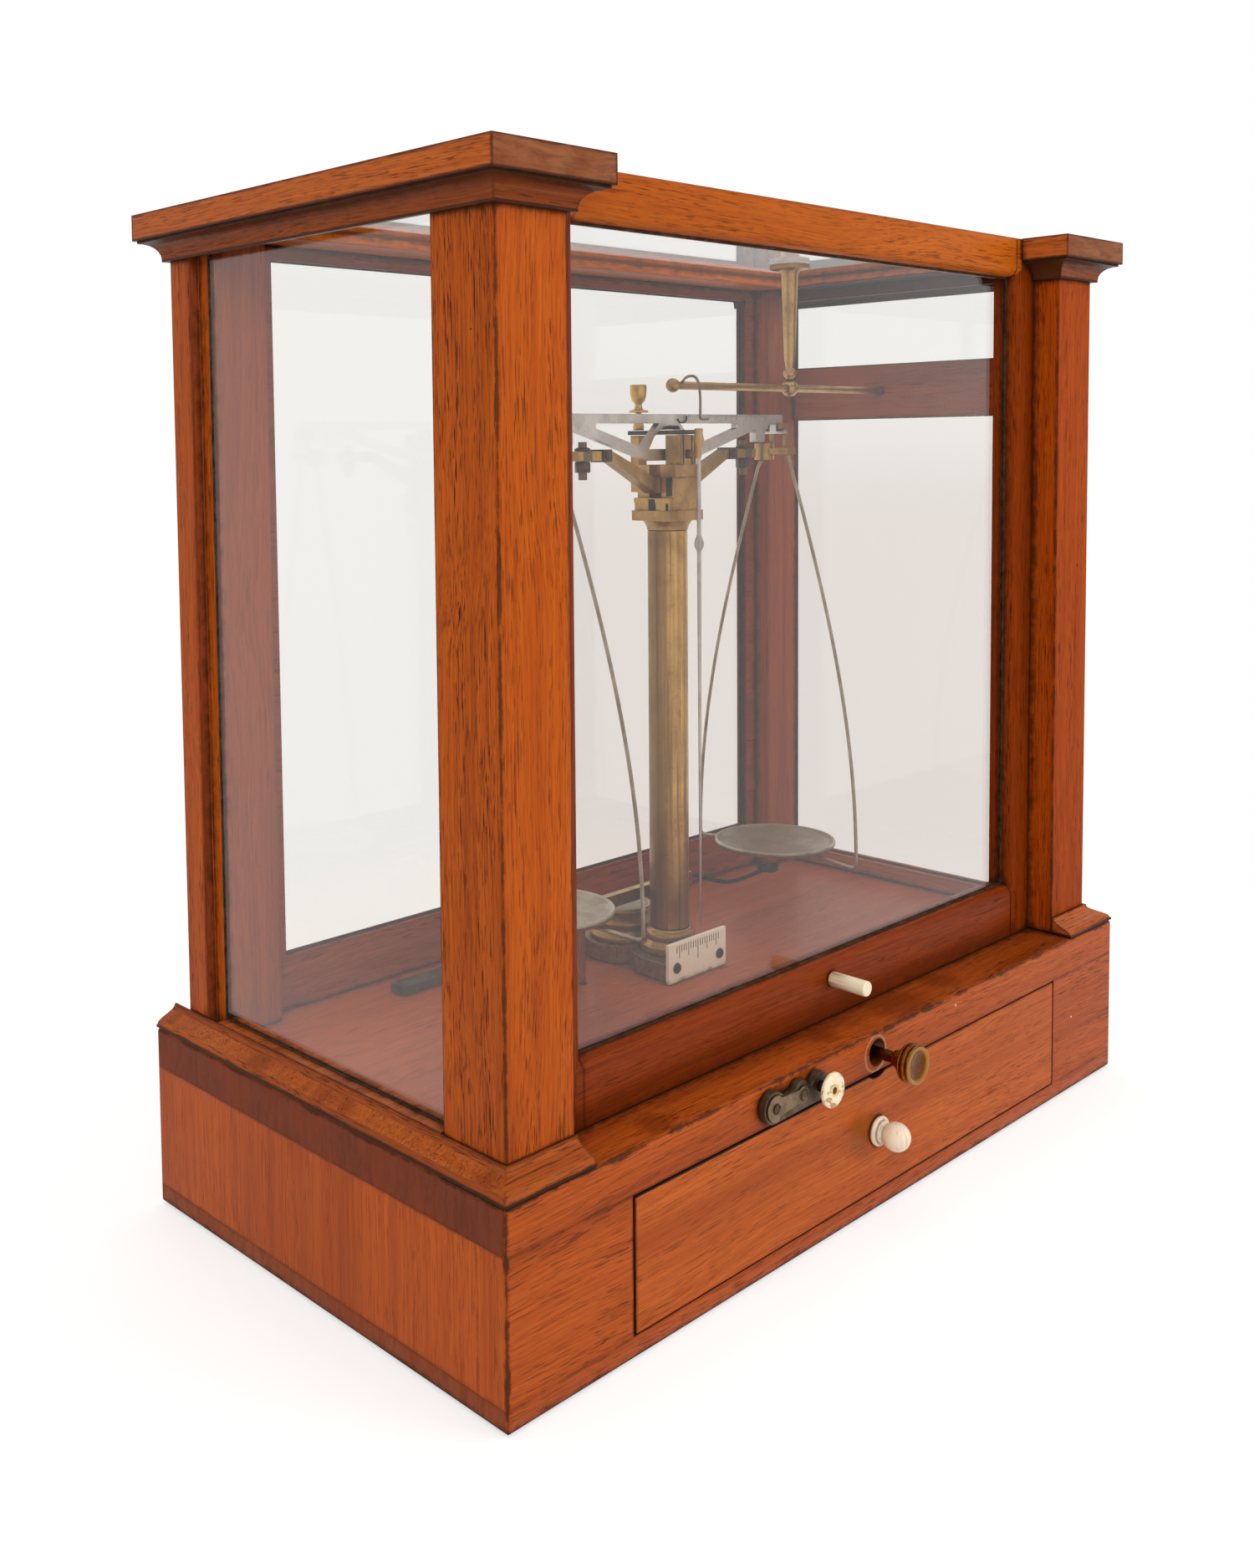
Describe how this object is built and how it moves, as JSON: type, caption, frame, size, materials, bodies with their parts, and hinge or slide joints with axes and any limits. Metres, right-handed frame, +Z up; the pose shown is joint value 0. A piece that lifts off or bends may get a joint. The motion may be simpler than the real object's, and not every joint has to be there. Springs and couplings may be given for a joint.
{
  "type": "analytical balance",
  "caption": "Equal-arm analytical balance in a glazed hardwood case with a lifting front sash, a drawer, a beam on knife edges, hanging pans, arrest gear and a rider rod.",
  "frame": {"origin": "middle of the underside of the base, on the surface that the case stands on", "axes": "+X to the right as seen from the front, +Y to the back, +Z up"},
  "size_m": [0.4414, 0.2473, 0.434],
  "materials": {
    "hardwood": "polished reddish hardwood",
    "pane": "clear window glass",
    "aged_brass": "lacquered brass, toned with age",
    "bronze": "dark bronzed casting",
    "bone": "polished bone",
    "dark_steel": "blued steel",
    "beam_alloy": "satin aluminium",
    "nickel": "dull nickel plate"
  },
  "bodies": {
    "case": {"base_bottom_board": "hardwood", "base_left_side": "hardwood", "base_right_side": "hardwood", "base_left_stile": "hardwood", "base_right_stile": "hardwood", "base_back_board": "hardwood", "base_top_board": "hardwood", "base_moulding_left": "hardwood", "base_moulding_right": "hardwood", "post_front_left": "hardwood", "post_front_right": "hardwood", "post_back_left": "hardwood", "post_back_right": "hardwood", "cornice_left": "hardwood", "cornice_right": "hardwood", "top_front_rail": "hardwood", "top_back_rail": "hardwood", "top_glass": "pane", "left_glass": "pane", "right_glass_lower": "pane", "right_glass_upper": "pane", "right_cross_rail": "hardwood", "back_frame": "hardwood", "back_glass": "pane", "column_base_plate": "bronze", "level_cup": "aged_brass", "column_foot": "aged_brass", "column_tube": "aged_brass", "column_head": "aged_brass", "bearing_plate": "dark_steel", "finial": "aged_brass", "index_plate": "bone", "rider_hanger": "aged_brass", "button_plate": "bronze"},
    "front_sash": {"sash_top_rail": "hardwood", "sash_bottom_rail": "hardwood", "sash_left_stile": "hardwood", "sash_right_stile": "hardwood", "sash_glass": "pane", "sash_peg": "bone"},
    "drawer": {"drawer_front": "hardwood", "drawer_box": "hardwood", "drawer_knob": "bone"},
    "arrest_control": {"arrest_knob": "aged_brass"},
    "arrest_carriage": {"arrest_arms": "aged_brass"},
    "pan_button_body": {"pan_button": "bone", "pan_button_stem": "dark_steel"},
    "pan_arrest": {"pan_arrest_bar": "aged_brass", "pan_arrest_arm_left": "dark_steel", "pan_arrest_arm_right": "dark_steel"},
    "beam_body": {"beam": "beam_alloy", "pointer": "beam_alloy"},
    "left_hanger": {"left_stirrup": "aged_brass", "left_bow": "nickel", "left_pan": "nickel"},
    "right_hanger": {"right_stirrup": "aged_brass", "right_bow": "nickel", "right_pan": "nickel"},
    "rider_swivel": {"rider_bush": "aged_brass"},
    "rider": {"rider_rod": "aged_brass"}
  },
  "joints": [
    {"name": "sash_slide", "type": "slide", "parent": "case", "child": "front_sash", "axis": [0, 0, 1], "range_m": [0, 0.26]},
    {"name": "drawer_slide", "type": "slide", "parent": "case", "child": "drawer", "axis": [0, -1, 0], "range_m": [0, 0.12]},
    {"name": "arrest_turn", "type": "hinge", "parent": "case", "child": "arrest_control", "pos_m": [0, -0.113, 0.0705], "axis": [0, 1, 0], "range_deg": [0, 182]},
    {"name": "arrest_lift", "type": "slide", "parent": "case", "child": "arrest_carriage", "axis": [0, 0, -1], "range_m": [0, 0.002]},
    {"name": "button_push", "type": "slide", "parent": "case", "child": "pan_button_body", "axis": [0, 1, 0], "range_m": [0, 0.004], "stiffness_N_per_m": 400, "springref_m": -0.002},
    {"name": "pan_arrest_lift", "type": "slide", "parent": "case", "child": "pan_arrest", "axis": [0, 0, 1], "range_m": [0, 0.0031]},
    {"name": "beam_tilt", "type": "hinge", "parent": "case", "child": "beam_body", "pos_m": [0, 0.0055, 0.3406], "axis": [0, 1, 0], "range_deg": [-2, 2]},
    {"name": "left_hang", "type": "hinge", "parent": "beam_body", "child": "left_hanger", "pos_m": [-0.084, 0.0055, 0.3406], "axis": [0, 1, 0], "range_deg": [-4, 4]},
    {"name": "right_hang", "type": "hinge", "parent": "beam_body", "child": "right_hanger", "pos_m": [0.084, 0.0055, 0.3406], "axis": [0, 1, 0], "range_deg": [-4, 4]},
    {"name": "rider_turn", "type": "hinge", "parent": "case", "child": "rider_swivel", "pos_m": [0.114, 0.018, 0.3625], "axis": [1, 0, 0], "range_deg": [-45, 0]},
    {"name": "rider_slide", "type": "slide", "parent": "rider_swivel", "child": "rider", "axis": [1, 0, 0], "range_m": [0, 0.05]}
  ],
  "couplings": [
    {"joint": "arrest_turn", "follows": "arrest_lift", "rad_per_m": 1570.8},
    {"joint": "pan_arrest_lift", "follows": "button_push", "ratio": 0.75}
  ]
}
